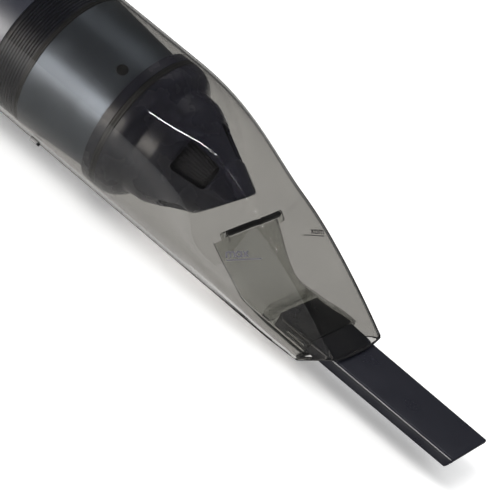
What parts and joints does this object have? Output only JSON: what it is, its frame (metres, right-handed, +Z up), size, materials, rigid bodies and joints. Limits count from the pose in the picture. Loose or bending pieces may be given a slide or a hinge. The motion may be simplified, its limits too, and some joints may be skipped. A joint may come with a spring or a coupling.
{
  "type": "handheld vacuum cleaner",
  "caption": "Cordless handheld vacuum with a clear round-to-flat dust bowl, caged cone filter, flap duct, slide-in crevice tool and a looped hand grip.",
  "frame": {"origin": "middle of the bounding box in plan, on the surface that the bowl and the rear feet lie on", "axes": "+X along the barrel towards the nozzle, +Z up, +Y to the left of the nozzle"},
  "size_m": [0.502, 0.096, 0.1463],
  "materials": {
    "smoke_clear": "smoky clear plastic, polished",
    "smoke_duct": "smoky translucent plastic",
    "navy_gloss": "dark navy, glossy",
    "navy_matte": "dark navy, fine matte grain",
    "black_plastic": "black, matte",
    "black_rubber": "soft black rubber",
    "satin_metallic": "satin metallic grey",
    "filter_mesh": "fine dark mesh",
    "steel": "bright steel",
    "screw_black": "blackened steel",
    "copper": "enamelled copper",
    "brass": "plain brass",
    "magnet_grey": "ferrite",
    "cream_plastic": "cream, matte",
    "board_green": "solder mask",
    "cell_wrap": "shrink wrap",
    "nickel": "nickel strip",
    "button_grey": "metallic grey, satin",
    "switch_red": "deep red, satin",
    "lens_blue": "clear lens"
  },
  "bodies": {
    "body": {"snout_sleeve": "satin_metallic", "bayonet_studs": "black_plastic", "ribbed_collar": "navy_gloss", "collar_seal": "black_rubber", "front_plate": "black_plastic", "fan_shroud": "cream_plastic", "motor_can": "steel", "motor_end_bell": "black_plastic", "magnets": "magnet_grey", "brushes": "magnet_grey", "bearings": "steel", "motor_mount": "black_rubber", "battery_cells": "cell_wrap", "cell_links": "nickel", "battery_tray": "black_plastic", "circuit_board": "board_green", "housing_left": "navy_gloss", "housing_right": "navy_gloss", "exhaust_grilles": "black_plastic", "tail_cap": "navy_matte", "charge_socket": "black_plastic", "handle_left": "navy_gloss", "handle_right": "navy_gloss", "grip_pad": "black_rubber", "switch_block": "black_plastic", "indicator_lens": "lens_blue", "case_screws": "screw_black", "rubber_feet": "black_rubber"},
    "bowl": {"dust_bowl": "smoke_clear", "bowl_lugs": "black_plastic", "mouth_lip": "black_rubber", "inlet_duct": "smoke_duct", "flap_pin": "steel"},
    "flap": {"flap": "black_rubber"},
    "tool": {"crevice_tool": "navy_matte"},
    "filter": {"filter_cage": "navy_gloss", "filter_sleeve": "filter_mesh", "cage_seal": "black_rubber"},
    "rotor": {"rotor_shaft": "steel", "armature": "copper", "commutator": "copper", "impeller": "black_plastic", "impeller_nut": "brass"},
    "button": {"release_button": "button_grey", "button_spring": "steel"},
    "switch": {"power_switch": "switch_red"}
  },
  "joints": [
    {"name": "bowl_pull", "type": "slide", "parent": "body", "child": "bowl", "axis": [1, 0, 0], "range_m": [0, 0.16]},
    {"name": "flap_hinge", "type": "hinge", "parent": "bowl", "child": "flap", "pos_m": [0.07331, 0, 0.04306], "axis": [0, 1, 0], "range_deg": [0, 62], "stiffness_Nm_per_rad": 0.02},
    {"name": "tool_pull", "type": "slide", "parent": "bowl", "child": "tool", "axis": [1, 0, 0], "range_m": [0, 0.06]},
    {"name": "filter_twist", "type": "hinge", "parent": "body", "child": "filter", "pos_m": [-0.016, 0, 0.048], "axis": [1, 0, 0], "range_deg": [0, 25]},
    {"name": "motor_spin", "type": "hinge", "parent": "body", "child": "rotor", "pos_m": [-0.13, 0, 0.048], "axis": [1, 0, 0], "continuous": true},
    {"name": "release_press", "type": "slide", "parent": "body", "child": "button", "axis": [0, 0, -1], "range_m": [0, 0.0025], "stiffness_N_per_m": 400, "springref_m": -0.0005, "deforming": ["button_spring"]},
    {"name": "switch_slide", "type": "slide", "parent": "body", "child": "switch", "axis": [1, 0, 0], "range_m": [0, 0.0075]}
  ]
}
